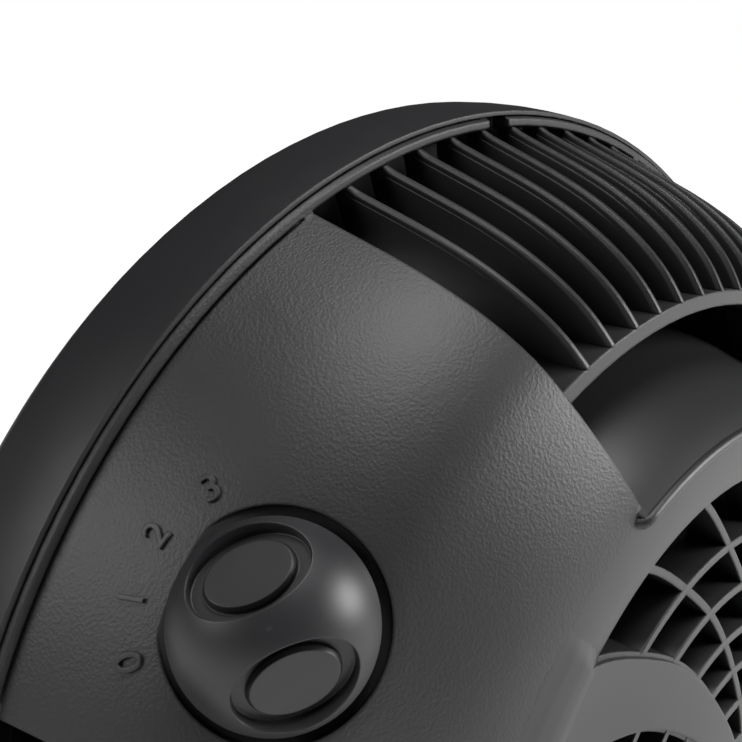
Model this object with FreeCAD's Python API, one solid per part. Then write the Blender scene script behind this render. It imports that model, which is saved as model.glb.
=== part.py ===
import FreeCAD, Part
import math
import os

V = FreeCAD.Vector

# Sizes in millimetres. The head axis runs along Y, the rear is +Y and the air leaves towards -Y.
rim_radius = 118.0
axis_height = 162.0
pivot_back = 13.0
wall = 2.2
gap = 0.3
touch = 0.05
running = 0.05
eps = 0.5

# Shape of the rear dome: radius and height as shares of the rim radius, from the rim to the centre.
dome_shares = [(0.982, 0.0), (0.95, 0.083), (0.90, 0.196), (0.85, 0.272), (0.80, 0.322), (0.74, 0.358),
               (0.67, 0.394), (0.59, 0.420), (0.509, 0.424)]
grille_shares = [(0.530, 0.4235), (0.42, 0.431), (0.349, 0.440), (0.285, 0.449), (0.178, 0.464), (0.0, 0.472)]
panel_radius_share = 0.982
arch1_share = 0.766
arch2_share = 0.589
grille_edge_share = 0.509
ring_shares = [0.42, 0.349, 0.285, 0.232, 0.178]
hub_share = 0.125
spiral_shares = [(0.54, 3.0), (0.509, 0.0), (0.417, -7.2), (0.349, -13.0), (0.287, -17.2), (0.232, -20.2),
                 (0.178, -23.2), (0.110, -26.0)]

# Vents and fins of the rear housing
vent_count = 4
vent_half_angle = 23.375
fin_gaps = 11
fin_thick = 1.3
fin_depth = 12.0
fin_drop = 1.2
fin_rise = 1.6
arch_width = 2.6
arch_depth = 15.0
side_thick = 2.0
rim_thick = 2.0
rim_depth = 5.0
ridge_round = 0.8
groove_depth = 2.6
floor_thick = 2.2
notch_width = 5.6
notch_depth = 4.0
pocket_floor_shares = [(0.575, 0.422), (0.600, 0.388), (0.632, 0.320), (0.664, 0.228), (0.694, 0.135),
                       (0.722, 0.105), (0.76, 0.098)]

# Central grille
rib_count = 22
rib_first_angle = 41.1
rib_thick = 1.4
rib_depth = 7.0
ring_thick = 1.4
arm_lift = 1.0
arm_depth = 7.5
post_count = 4
post_first_angle = -17.0
post_radius = 3.8
post_hole = 1.3
post_hole_depth = 8.0

# Speed knob and rotary switch
knob_angle = 53.0
knob_radius_share = 0.846
knob_height_share = 0.232
knob_slope = (0.745, 0.66706)
knob_radius = 13.7
knob_height = 11.0
knob_skirt = 3.2
knob_gap = 0.6
recess_radius = 15.2
recess_depth = 12.0
seat_radius = 17.2
seat_thick = 2.4
dimple_length = 8.9
dimple_width = 6.4
dimple_tilt = 32.0
dimple_depth = 3.6
dimple_floor_share = 0.90
pad_share = 0.70
pad_top_share = 0.93
pad_rise = 1.3
off_angle = 48.5
bush_radius = 3.6
bush_bore = 3.05
bush_height = 2.6
switch_shaft_radius = 3.0
switch_shaft_length = 17.0
switch_side = 18.0
switch_depth = 13.0
nut_radius = 5.6
nut_height = 1.8
knob_bore_depth = 6.2
knob_wall = 1.6

# Cord gland in the lower panel
gland_angle = 135.0
gland_bore = 3.2
gland_radius = 5.0
gland_flange = 7.5
gland_flange_thick = 2.4
gland_length = 12.0

# Capacitor under another panel
capacitor_angle = 225.0
capacitor_length = 32.0
capacitor_width = 18.0
capacitor_height = 12.0
capacitor_round = 2.0
clip_thick = 1.0
clip_width = 10.0
clip_foot = 7.0
pad_height = 7.0

# Front housing: outer shape as shares of the rim radius, from the parting line forward
band_shares = [(1.009, -0.008), (1.016, -0.05), (1.020, -0.10), (1.020, -0.142)]
nose_share = 0.012
front_wall = 2.4
front_lip_share = 0.945
front_depth_share = 0.195
seat_flange = 2.6
lug_radius = 110.0
lug_size = 9.0
lug_thick = 3.0
lug_first_angle = 31.0
boss_radius = 4.2
boss_height = 22.0
boss_screw = 1.6
screw_head = 3.2
screw_head_height = 2.2
screw_length = 12.0

# Front grille and its bare cap
front_rim_share = 0.940
front_flange = 9.0
front_flange_thick = 2.4
front_dome = 20.0
front_bar = 2.0
front_bar_depth = 4.0
front_ring_count = 7
front_spoke_count = 20
front_boss_radius = 24.0
front_boss_depth = 5.0
duct_wall = 2.0
duct_length = 12.0
cap_radius = 20.0
cap_thick = 2.0
cap_dome = 2.0
cap_pin_radius = 2.0
cap_pin_length = 4.0

# Motor
stator_radius = 36.0
yoke_radius = 29.0
tooth_radius = 20.4
air_gap = 0.5
tooth_count = 8
tooth_width = 8.0
stack_back = 28.0
stack_front = 12.0
coil_width = 12.4
coil_inner = 22.0
coil_outer = 28.4
coil_overhang = 5.5
coil_gap = 0.15
shaft_radius = 4.0
shaft_front = -32.0
shaft_back = 43.0
bracket_wall = 2.4
bracket_length = 9.0
bracket_boss = 10.5
bracket_boss_length = 9.0
bearing_radius = 8.0
bearing_length = 8.0
bolt_circle = 40.2
bolt_radius = 1.7
bolt_head = 3.0
bolt_head_height = 2.4
ear_radius = 4.6
ear_thick = 3.4
mount_ear = 5.0

# Fan blade
blade_count = 5
blade_tip = 94.0
blade_hub = 19.0
blade_hub_back = -3.0
blade_hub_length = 23.0
blade_thick = 1.8
blade_chord = [26.0, 50.0, 56.0]
blade_pitch = [42.0, 30.0, 20.0]
blade_shares = [0.15, 0.55, 1.0]
blade_camber = 4.0
blade_rake = [0.0, 2.5, 6.0]
spinner_radius = 9.0
spinner_length = 7.5

# Stand and pivots
arm_gap = 3.0
arm_thick = 11.0
arm_wall = 3.0
arm_top_radius = 24.0
arm_foot_width = 96.0
foot_depth = 150.0
foot_height = 18.0
foot_wall = 3.0
foot_corner = 46.0
foot_round = 5.0
plate_thick = 2.5
plate_gap = 0.4
plate_screw_inset = 26.0
plate_boss = 4.5
foot_pad_radius = 9.0
foot_pad_height = 3.0
foot_pad_inset = 30.0
pivot_bolt_radius = 3.0
pivot_head_radius = 6.0
pivot_head_height = 4.0
pivot_boss_radius = 6.8
pivot_boss_inner = 8.0
pivot_nut_radius = 5.6
pivot_nut_height = 5.0
washer_radius = 9.0
cap_disc_radius = 17.0
cap_disc_thick = 2.0
arm_boss_radius = 19.0

grille_base = 0.30
origin = V(0, 0, 0)
y_axis = V(0, 1, 0)
dome_height = rim_radius * grille_shares[-1][1]
housing_radius = rim_radius * max(s[0] for s in band_shares)
front_end = -rim_radius * front_depth_share
arm_inner = housing_radius + arm_gap
arm_outer = arm_inner + arm_thick
fin_pitch = vent_half_angle * 2 / fin_gaps


def scaled(shares):
    return [V(r * rim_radius, h * rim_radius, 0) for r, h in shares]


def spline(points):
    curve = Part.BSplineCurve()
    curve.interpolate(points)
    return curve


def offset_points(points, depth):
    # moves each point inward along the curve's normal
    curve = spline(points)
    moved = []
    for p in points:
        t = curve.tangent(curve.parameter(p))[0]
        moved.append(V(p.x + t.y * depth, p.y - t.x * depth, 0))
    return moved


def band_face(outer, inner):
    a = spline(outer).toShape()
    b = spline(inner).toShape()
    ends = [Part.makeLine(outer[0], inner[0]), Part.makeLine(outer[-1], inner[-1])]
    return Part.Face(Part.Wire(Part.__sortEdges__([a, b] + ends)))


def polygon_face(points):
    return Part.Face(Part.makePolygon(points + points[:1]))


def rect(r0, r1, h0, h1):
    return polygon_face([V(r0, h0, 0), V(r1, h0, 0), V(r1, h1, 0), V(r0, h1, 0)])


def turned(shape, angle):
    # a shape drawn at +X goes to the clock angle, counted from the top towards +X
    copy = shape.copy()
    copy.rotate(origin, y_axis, angle - 90.0)
    return copy


def sweep(face, start, end):
    return turned(face.revolve(origin, y_axis, end - start), start)


def whole(face):
    return face.revolve(origin, y_axis, 360.0)


def fused(shapes):
    return shapes[0].multiFuse(shapes[1:]).removeSplitter()


def tube(r_out, r_in, start, direction, length):
    outer = Part.makeCylinder(r_out, length, start, direction)
    if r_in <= 0:
        return outer
    return outer.cut(Part.makeCylinder(r_in, length, start, direction))


def slab(face, thick):
    body = face.extrude(V(0, 0, thick))
    body.translate(V(0, 0, -thick / 2))
    return body


def local_frame(angle, slope, r_share, h_share, roll=0.0):
    # matrix whose z is the dome's normal and whose x points down the dome, away from the middle
    normal = V(slope[0], slope[1], 0)
    down = V(slope[1], -slope[0], 0)
    side = normal.cross(down)
    centre = V(r_share * rim_radius, h_share * rim_radius, 0)
    m = FreeCAD.Matrix(down.x, side.x, normal.x, centre.x, down.y, side.y, normal.y, centre.y,
                       down.z, side.z, normal.z, centre.z, 0, 0, 0, 1)
    spin = FreeCAD.Placement(origin, FreeCAD.Rotation(V(0, 0, 1), roll))
    turn = FreeCAD.Placement(origin, FreeCAD.Rotation(y_axis, angle - 90.0))
    return turn.multiply(FreeCAD.Placement(m)).multiply(spin)


def at_frame(shape, place):
    copy = shape.copy()
    copy.Placement = place.multiply(copy.Placement)
    return copy


knob_frame = local_frame(knob_angle, knob_slope, knob_radius_share, knob_height_share)
gland_frame = local_frame(gland_angle, knob_slope, knob_radius_share, knob_height_share)
capacitor_frame = local_frame(capacitor_angle, knob_slope, knob_radius_share, knob_height_share)
z_axis = V(0, 0, 1)


def dome_points():
    return scaled(dome_shares)


def shell():
    outer = dome_points()
    return whole(band_face(outer, offset_points(outer, -wall)))


def rim():
    # ridge ring with broken edges, and the floor of the groove inside it
    inner = rim_radius - rim_thick
    c = ridge_round
    ring = whole(polygon_face([V(inner, -rim_depth, 0), V(rim_radius, -rim_depth, 0), V(rim_radius, -c, 0),
                               V(rim_radius - c / 2, 0, 0), V(inner + c / 2, 0, 0), V(inner, -c, 0)]))
    panel_edge = panel_radius_share * rim_radius
    low = rect(panel_edge - wall, inner + eps, -groove_depth - floor_thick, -groove_depth)
    lip = rect(panel_edge - wall, panel_edge, -groove_depth - eps, 0)
    return ring, [whole(low), whole(lip)]


def vent_tool(angle, r_in):
    # everything of the shell between the arches and the rim inside one vent
    face = rect(r_in, rim_radius - rim_thick, -rim_depth, dome_height * 2)
    return sweep(face, angle - vent_half_angle, angle + vent_half_angle)


def fin_face(r_in, r_out, drop, depth):
    shares = [s for s in dome_shares if s[0] * rim_radius >= r_in]
    points = offset_points(dome_points(), -drop)[:len(shares)]
    low = offset_points(dome_points(), -drop - depth)[:len(shares)]
    edge = rim_radius - rim_thick / 2
    start = V(edge, points[0].y, 0)
    outline = [V(edge, -rim_depth + fin_rise, 0), start]
    wire = [Part.makeLine(outline[0], outline[1]), Part.makeLine(start, points[0]), spline(points).toShape(),
            Part.makeLine(points[-1], low[-1])]
    inner = [p for p in low if p.y > -rim_depth + fin_rise]
    foot = V(inner[0].x, -rim_depth + fin_rise, 0)
    wire += [spline(inner[::-1]).toShape(), Part.makeLine(inner[0], foot), Part.makeLine(foot, outline[0])]
    return Part.Face(Part.Wire(Part.__sortEdges__(wire)))


def fins(angle, r_in):
    plate = slab(fin_face(r_in, rim_radius, fin_drop, fin_depth), fin_thick)
    first = angle - vent_half_angle
    return [turned(plate, first + fin_pitch * (i + 1)) for i in range(fin_gaps - 1)]


def side_walls(angle, r_in):
    plate = slab(fin_face(r_in, rim_radius, touch, fin_depth), side_thick)
    lean = math.degrees(side_thick / 2 / rim_radius)
    return [turned(plate, angle + s * (vent_half_angle + lean)) for s in (-1, 1)]


def dome_height_at(radius):
    points = dome_points() + scaled(grille_shares)[1:]
    for a, b in zip(points, points[1:]):
        if b.x <= radius <= a.x:
            return a.y + (b.y - a.y) * (a.x - radius) / (a.x - b.x)
    return 0.0


def arch(angle, share, depth):
    r = share * rim_radius
    top = dome_height_at(r)
    face = rect(r - arch_width, r, top - depth, top)
    half = vent_half_angle + fin_pitch / 4
    return sweep(face, angle - half, angle + half)


def pocket(angle):
    # bowl of the handle: the floor falls from the inner arch to the foot of the outer arch
    upper = scaled(pocket_floor_shares)
    lower = offset_points(upper, -wall)
    r1 = arch1_share * rim_radius
    r2 = arch2_share * rim_radius - arch_width / 2
    lean = math.degrees(side_thick / 2 / r1)
    half = vent_half_angle + lean
    floor = sweep(band_face(upper, lower), angle - half, angle + half)
    top = dome_height_at(r1)
    back = sweep(rect(r1 - arch_width, r1, upper[-1].y - wall, top - eps), angle - half, angle + half)
    middle = (r1 + r2) / 2
    end = r1 - arch_width / 2
    cheek = polygon_face([V(r2, upper[0].y - wall * 2, 0), V(end, upper[-1].y - wall - eps, 0), V(end, top - eps, 0),
                          V(middle, dome_height_at(middle) - eps, 0), V(r2, dome_height_at(r2) - eps, 0)])
    sides = [turned(slab(cheek, side_thick), angle + s * half) for s in (-1, 1)]
    return [floor, back] + sides


def spiral_points(first, shift):
    # one curved rib in plan, moved sideways by shift
    raw = []
    for share, turn in spiral_shares:
        a = math.radians(first + turn)
        r = share * rim_radius
        raw.append(V(r * math.sin(a), 0, r * math.cos(a)))
    curve = spline(raw)
    moved = []
    for p in raw:
        t = curve.tangent(curve.parameter(p))[0]
        moved.append(V(p.x + t.z * shift, 0, p.z - t.x * shift))
    return moved


def plan_face(left, right):
    edges = [spline(left).toShape(), spline(right).toShape(), Part.makeLine(left[0], right[0]),
             Part.makeLine(left[-1], right[-1])]
    return Part.Face(Part.Wire(Part.__sortEdges__(edges)))


def upright(face):
    body = face.extrude(V(0, dome_height, 0))
    body.translate(V(0, dome_height * grille_base, 0))
    return body


def grille_layer(lift, depth):
    outer = [V(p.x, p.y + lift, 0) for p in scaled(grille_shares)]
    lower = [V(p.x, p.y - depth, 0) for p in outer]
    return whole(band_face(outer, lower))


def grille_rings():
    rings = []
    for share in ring_shares:
        r = share * rim_radius
        top = dome_height_at(r)
        rings.append(whole(rect(r - ring_thick / 2, r + ring_thick / 2, top - rib_depth, top)))
    hub = Part.makeCylinder(hub_share * rim_radius, dome_height, origin, y_axis)
    return rings + [hub.common(grille_layer(0, rib_depth))]


def grille_ribs():
    step = 360.0 / rib_count
    blades = []
    for i in range(rib_count):
        first = rib_first_angle + i * step
        blades.append(upright(plan_face(spiral_points(first, -rib_thick / 2), spiral_points(first, rib_thick / 2))))
    layer = grille_layer(0, rib_depth)
    return [b.common(layer) for b in blades]


def grille_arm():
    # closed channel for the wires between the motor and the switch
    step = 360.0 / rib_count
    face = plan_face(spiral_points(rib_first_angle, 0), spiral_points(rib_first_angle + step, 0))
    return upright(face).common(grille_layer(arm_lift, arm_depth))


def post_angles():
    return [post_first_angle + 360.0 / post_count * i for i in range(post_count)]


def posts():
    r = ring_shares[0] * rim_radius
    top = dome_height_at(r)
    post = Part.makeCylinder(post_radius, top - touch - mount_top, V(r, mount_top, 0), y_axis)
    hole = Part.makeCylinder(post_hole, post_hole_depth, V(r, mount_top, 0), y_axis)
    return [turned(post, a) for a in post_angles()], [turned(hole, a) for a in post_angles()]


def lug_angles():
    return [lug_first_angle + 360.0 / vent_count * i for i in range(vent_count)]


def rear_bosses():
    boss = Part.makeCylinder(boss_radius, boss_height, V(lug_radius, -rim_depth, 0), y_axis)
    hole = Part.makeCylinder(boss_screw, screw_length, V(lug_radius, -rim_depth, 0), y_axis)
    return [turned(boss, a) for a in lug_angles()], [turned(hole, a) for a in lug_angles()]


def capacitor_pad():
    width = capacitor_width + (clip_foot + clip_thick) * 2
    pad = Part.makeBox(width, capacitor_length, pad_height * 2, V(-width / 2, -capacitor_length / 2, -pad_height))
    return at_frame(pad, capacitor_frame)


def round_seat(radius, place):
    seat = Part.makeCylinder(radius, seat_thick + knob_height, V(0, 0, -seat_thick), z_axis)
    return at_frame(seat, place)


def knob_cuts():
    recess = Part.makeCylinder(recess_radius, recess_depth, origin, z_axis)
    bore = Part.makeCylinder(bush_radius + touch, recess_depth * 2, V(0, 0, -recess_depth), z_axis)
    return [at_frame(recess, knob_frame), at_frame(bore, knob_frame)]


def outside():
    # thick skin outside the dome that trims bosses standing through it
    outer = dome_points()
    far = offset_points(outer, boss_height)
    return whole(band_face(outer, far))


def rear_housing():
    body = shell()
    ring, lips = rim()
    body = fused([body] + lips)
    tools = []
    for i in range(vent_count):
        angle = i * 360.0 / vent_count
        tools.append(vent_tool(angle, arch2_share * rim_radius))
    body = body.cut(Part.makeCompound(tools))
    adds = [ring]
    for i in range(vent_count):
        angle = i * 360.0 / vent_count
        inner = arch1_share if i == 0 else arch2_share
        adds += fins(angle, inner * rim_radius - arch_width / 2)
        adds += side_walls(angle, arch2_share * rim_radius)
        adds.append(arch(angle, arch1_share, arch_depth))
        adds.append(arch(angle, arch2_share, arch_depth / 2))
    adds += pocket(0)
    stems, stem_holes = posts()
    adds += grille_rings() + grille_ribs() + [grille_arm()] + stems
    bosses, holes = rear_bosses()
    skin = outside()
    trimmed = [b.cut(skin) for b in bosses + [round_seat(seat_radius, knob_frame), capacitor_pad(),
                                         round_seat(gland_flange + wall, gland_frame)]]
    body = body.multiFuse(adds + trimmed)
    gland_hole = Part.makeCylinder(gland_radius, gland_length * 2, V(0, 0, -gland_length), z_axis)
    gland_flat = Part.makeCylinder(gland_flange + gap, recess_depth, origin, z_axis)
    cuts = knob_cuts() + holes + stem_holes + [at_frame(gland_hole, gland_frame), at_frame(gland_flat, gland_frame)]
    notch = Part.makeBox(notch_width, notch_depth * 2, rim_thick * 2,
                         V(-notch_width / 2, -notch_depth, rim_radius - rim_thick * 2 + touch))
    body = body.cut(Part.makeCompound(cuts + [notch]))
    return body.removeSplitter()


mount_top = stack_back + bracket_length + bracket_wall + touch * 2


def front_housing():
    outer = scaled(band_shares)
    edge = rim_radius + gap
    back = outer[0]
    step = -rim_depth - touch
    inner_r = housing_radius - front_wall
    flange_r = rim_radius - seat_flange
    lip_r = front_lip_share * rim_radius
    tail = outer[-1]
    corners = [V(lip_r, front_end, 0), V(lip_r, front_end + front_wall, 0), V(inner_r, front_end + front_wall, 0),
               V(inner_r, step - front_wall, 0), V(flange_r, step - front_wall, 0), V(flange_r, step, 0),
               V(edge, step, 0), V(edge, back.y, 0)]
    bulge = V((tail.x * 2 + lip_r) / 3 + nose_share * rim_radius, (tail.y + front_end * 2) / 3, 0)
    nose = Part.Arc(tail, bulge, corners[0]).toShape()
    chain = [Part.makeLine(a, b) for a, b in zip(corners, corners[1:])]
    edges = [spline(outer).toShape(), nose] + chain + [Part.makeLine(corners[-1], back)]
    body = whole(Part.Face(Part.Wire(Part.__sortEdges__(edges))))
    lug = Part.makeBox(flange_r + eps - lug_radius + lug_size / 2, lug_thick, lug_size,
                       V(lug_radius - lug_size / 2, step - lug_thick, -lug_size / 2))
    hole = Part.makeCylinder(boss_screw + running, lug_thick * 2, V(lug_radius, step - lug_thick * 3 / 2, 0), y_axis)
    lugs = [turned(lug.cut(hole), a) for a in lug_angles()]
    bosses = []
    for s in (-1, 1):
        start = V(s * (inner_r - pivot_boss_inner), -pivot_back, 0)
        length = front_wall + pivot_boss_inner + gap
        bosses.append(Part.makeCylinder(pivot_boss_radius, length, start, V(s, 0, 0)))
    body = fused([body] + lugs + bosses)
    bores = [Part.makeCylinder(pivot_bolt_radius + running, housing_radius + eps, V(0, -pivot_back, 0), V(s, 0, 0))
             for s in (-1, 1)]
    return body.cut(Part.makeCompound(bores)).removeSplitter()


def front_seat():
    return front_end + front_wall + touch


def front_rim():
    return front_rim_share * rim_radius


def front_face_at(radius):
    # height of the domed front at a radius: a shallow ball from the flange to the middle
    edge = front_rim() - front_flange
    ball = (edge ** 2 + front_dome ** 2) / front_dome / 2
    drop = math.sqrt(ball ** 2 - radius ** 2) - ball + front_dome
    return front_seat() + front_flange_thick - front_bar_depth - drop


def front_ring_radii():
    step = (front_rim() - front_flange - front_boss_radius) / (front_ring_count + 1)
    return [front_boss_radius + step * (i + 1) for i in range(front_ring_count)]


def front_layer():
    # domed sheet that the spokes are cut from
    edge = front_rim() - front_flange + front_bar / 2
    radii = [edge, edge * 2 / 3, edge / 3]
    low = [V(r, front_face_at(r), 0) for r in radii]
    high = [V(p.x, p.y + front_bar_depth, 0) for p in low]
    low_arc = Part.Arc(low[0], low[1], low[2]).toShape()
    high_arc = Part.Arc(high[0], high[1], high[2]).toShape()
    ends = [Part.makeLine(low[0], high[0]), Part.makeLine(low[2], V(0, low[2].y, 0)), Part.makeLine(high[2], V(0, high[2].y, 0))]
    ends.append(Part.makeLine(V(0, low[2].y, 0), V(0, high[2].y, 0)))
    return whole(Part.Face(Part.Wire(Part.__sortEdges__([low_arc, high_arc] + ends))))


def front_grille():
    seat = front_seat()
    edge = front_rim() - front_flange
    flange = whole(rect(edge, front_rim() + front_wall, seat, seat + front_flange_thick))
    duct = whole(rect(edge - duct_wall, edge + touch, seat + front_flange_thick - front_bar_depth, seat + duct_length))
    adds = [flange, duct]
    for r in front_ring_radii():
        low = front_face_at(r)
        adds.append(whole(rect(r - front_bar / 2, r + front_bar / 2, low, low + front_bar_depth)))
    low = front_face_at(0)
    adds.append(whole(rect(0, front_boss_radius, low, low + front_boss_depth)))
    layer = front_layer()
    for i in range(front_spoke_count):
        bar = Part.makeBox(edge, rim_radius, front_bar, V(0, -rim_radius, -front_bar / 2))
        ring = tube(edge, front_boss_radius - front_bar, V(0, -rim_radius, 0), y_axis, rim_radius)
        adds.append(turned(bar.common(layer).common(ring), 360.0 / front_spoke_count * i))
    body = fused(adds)
    pocket_cut = whole(rect(0, cap_radius + gap, low - eps, low + cap_thick))
    pin_hole = Part.makeCylinder(cap_pin_radius + touch, front_boss_depth * 2, V(0, low, 0), y_axis)
    round_pivots = Part.makeCylinder(pivot_boss_radius + gap, rim_radius * 2, V(-rim_radius, -pivot_back, 0), V(1, 0, 0))
    inside = Part.makeCylinder(edge, rim_radius * 2, V(0, -rim_radius, 0), y_axis)
    notches = round_pivots.cut(inside)
    return body.cut(Part.makeCompound([pocket_cut, pin_hole, notches])).removeSplitter()


def grille_cap():
    edge = front_face_at(0)
    back = edge + cap_thick - touch
    top = V(0, edge - cap_dome, 0)
    across, rise = cap_middle(cap_radius, cap_dome)
    arc = Part.Arc(V(cap_radius, edge, 0), V(across, edge - rise, 0), top).toShape()
    end = back + cap_pin_length - cap_thick
    corners = [top, V(0, end, 0), V(cap_pin_radius, end, 0), V(cap_pin_radius, back, 0), V(cap_radius, back, 0),
               V(cap_radius, edge, 0)]
    lines = [Part.makeLine(a, b) for a, b in zip(corners, corners[1:])]
    return whole(Part.Face(Part.Wire(Part.__sortEdges__([arc] + lines))))


def screw(start, direction, length, radius, head, height):
    shank = Part.makeCylinder(radius, length, start, direction)
    top = Part.makeCylinder(head, height, start, direction * -1)
    slot = Part.makeBox(head * 3, head / 4, height / 2)
    slot.translate(V(-head * 3 / 2, -head / 8, -height))
    turn = FreeCAD.Placement(start, FreeCAD.Rotation(z_axis, direction))
    return fused([shank, top]).cut(at_frame(slot, turn))


def housing_screws():
    start = V(lug_radius, -rim_depth - touch - lug_thick, 0)
    one = screw(start, y_axis, screw_length, boss_screw - running, screw_head, screw_head_height)
    return Part.makeCompound([turned(one, a) for a in lug_angles()])


def stator_core():
    ring = whole(rect(yoke_radius, stator_radius, stack_front, stack_back))
    tooth = Part.makeBox(yoke_radius - tooth_radius + eps, stack_back - stack_front, tooth_width,
                         V(tooth_radius, stack_front, -tooth_width / 2))
    bore = whole(rect(0, tooth_radius, stack_front, stack_back))
    teeth = [turned(tooth, 360.0 / tooth_count * i) for i in range(tooth_count)]
    return fused([ring] + teeth).cut(bore)


def windings():
    low = stack_front - coil_overhang
    length = stack_back - stack_front + coil_overhang * 2
    block = Part.makeBox(coil_outer - coil_inner, length, coil_width, V(coil_inner, low, -coil_width / 2))
    edges = [e for e in block.Edges if abs(e.BoundBox.XLength - (coil_outer - coil_inner)) < touch]
    block = block.makeFillet(coil_overhang / 2, edges)
    hole = Part.makeBox(coil_outer, length - coil_overhang * 2 + coil_gap * 2, tooth_width + coil_gap * 2,
                        V(coil_inner / 2, stack_front - coil_gap, -tooth_width / 2 - coil_gap))
    one = block.cut(hole)
    return Part.makeCompound([turned(one, 360.0 / tooth_count * i) for i in range(tooth_count)])


def bolt_angles():
    return [post_first_angle + 45.0 + 360.0 / post_count * i for i in range(post_count)]


def bracket(side):
    # cup that closes one end of the motor; side 1 is the rear, -1 the front
    face = stack_back + touch if side > 0 else stack_front - touch
    far = face + side * bracket_length
    end = far + side * bracket_wall
    low, high = sorted((face, far))
    cup = whole(rect(stator_radius - bracket_wall, stator_radius, low, high))
    low, high = sorted((far, end))
    disc = whole(rect(0, stator_radius, low, high))
    low, high = sorted((end, end - side * bracket_boss_length))
    boss = whole(rect(0, bracket_boss, low, high))
    low = face if side > 0 else face - ear_thick
    adds = [cup, disc, boss]
    for a in bolt_angles():
        tab = Part.makeBox(bolt_circle - stator_radius + bracket_wall, ear_thick, ear_radius * 2,
                           V(stator_radius - bracket_wall, low, -ear_radius))
        tip = Part.makeCylinder(ear_radius, ear_thick, V(bolt_circle, low, 0), y_axis)
        adds += [turned(tab, a), turned(tip, a)]
    cuts = [whole(rect(0, bearing_radius + touch, low - rim_radius, low + rim_radius))]
    for a in bolt_angles():
        hole = Part.makeCylinder(bolt_radius + touch, rim_radius, V(bolt_circle, low - ear_thick, 0), y_axis)
        cuts.append(turned(hole, a))
    if side > 0:
        r = ring_shares[0] * rim_radius
        for a in post_angles():
            arm = Part.makeBox(r - stator_radius + bracket_wall * 2, bracket_wall, mount_ear * 2,
                               V(stator_radius - bracket_wall * 2, far, -mount_ear))
            tip = Part.makeCylinder(mount_ear, bracket_wall, V(r, far, 0), y_axis)
            adds += [turned(arm, a), turned(tip, a)]
            cuts.append(turned(Part.makeCylinder(post_hole + running, rim_radius, V(r, far - eps, 0), y_axis), a))
    return fused(adds).cut(Part.makeCompound(cuts)).removeSplitter()


def bearing(side):
    end = stack_back + touch + bracket_length + bracket_wall if side > 0 else stack_front - touch - bracket_length
    start = end - bearing_length if side > 0 else end - bracket_wall
    return tube(bearing_radius, shaft_radius + running, V(0, start, 0), y_axis, bearing_length)


def bracket_bolts():
    start = stack_front - touch - ear_thick
    length = stack_back - stack_front + touch * 2 + ear_thick * 2
    one = screw(V(bolt_circle, start, 0), y_axis, length, bolt_radius, bolt_head, bolt_head_height)
    return Part.makeCompound([turned(one, a) for a in bolt_angles()])


def mount_screws():
    r = ring_shares[0] * rim_radius
    start = stack_back + touch + bracket_length
    one = screw(V(r, start, 0), y_axis, bracket_wall + post_hole_depth / 2, post_hole - running, bolt_head,
                bolt_head_height)
    return Part.makeCompound([turned(one, a) for a in post_angles()])


def shaft():
    return Part.makeCylinder(shaft_radius, shaft_back - shaft_front, V(0, shaft_front, 0), y_axis)


def rotor_core():
    return tube(tooth_radius - air_gap, shaft_radius, V(0, stack_front, 0), y_axis, stack_back - stack_front)


def blade_section(radius, chord, pitch, rake):
    # thin curved section, drawn across the span at one radius
    half = chord / 2
    thick = blade_thick / 2
    top = [V(0, thick, -half), V(0, blade_camber + thick, 0), V(0, thick, half)]
    low = [V(0, -thick, half), V(0, blade_camber - thick, 0), V(0, -thick, -half)]
    edges = [spline(top).toShape(), Part.makeLine(top[2], low[0]), spline(low).toShape(),
             Part.makeLine(low[2], top[0])]
    wire = Part.Wire(edges)
    wire.rotate(origin, V(1, 0, 0), pitch)
    wire.translate(V(radius, blade_hub_back - blade_hub_length / 2 + rake, 0))
    return wire


def fan_blade():
    hub = tube(blade_hub, shaft_radius + touch / 2, V(0, blade_hub_back - blade_hub_length, 0), y_axis,
               blade_hub_length)
    rows = zip(blade_shares, blade_chord, blade_pitch, blade_rake)
    wires = [blade_section(s * blade_tip, c, p, back) for s, c, p, back in rows]
    one = Part.makeLoft(wires, True)
    trim = tube(blade_tip, blade_hub - wall, V(0, -rim_radius, 0), y_axis, rim_radius * 2)
    blades = [turned(one.common(trim), 360.0 / blade_count * i) for i in range(blade_count)]
    hollow = tube(blade_hub - wall, shaft_radius + wall * 2, V(0, blade_hub_back - blade_hub_length + wall, 0), y_axis,
                  blade_hub_length)
    return fused([hub] + blades).cut(hollow)


def blade_nut():
    back = blade_hub_back - blade_hub_length - touch
    body = Part.makeCylinder(spinner_radius, spinner_length, V(0, back - spinner_length, 0), y_axis)
    edges = [e for e in body.Edges if abs(e.BoundBox.YMax - back + spinner_length) < touch]
    body = body.makeFillet(spinner_radius / 3, edges)
    return body.cut(Part.makeCylinder(shaft_radius + touch / 2, spinner_length, V(0, shaft_front - touch, 0), y_axis))


def cap_middle(radius, rise):
    # middle point of a spherical cap's arc, from its edge up to the axis
    ball = (radius * radius + rise * rise) / (rise * 2)
    half = math.asin(radius / ball) / 2
    return ball * math.sin(half), rise - ball + ball * math.cos(half)


def oval(length, width, height):
    ring = Part.Ellipse(origin, length, width).toShape()
    ring.translate(V(0, 0, height))
    return Part.Wire([ring])


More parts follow.
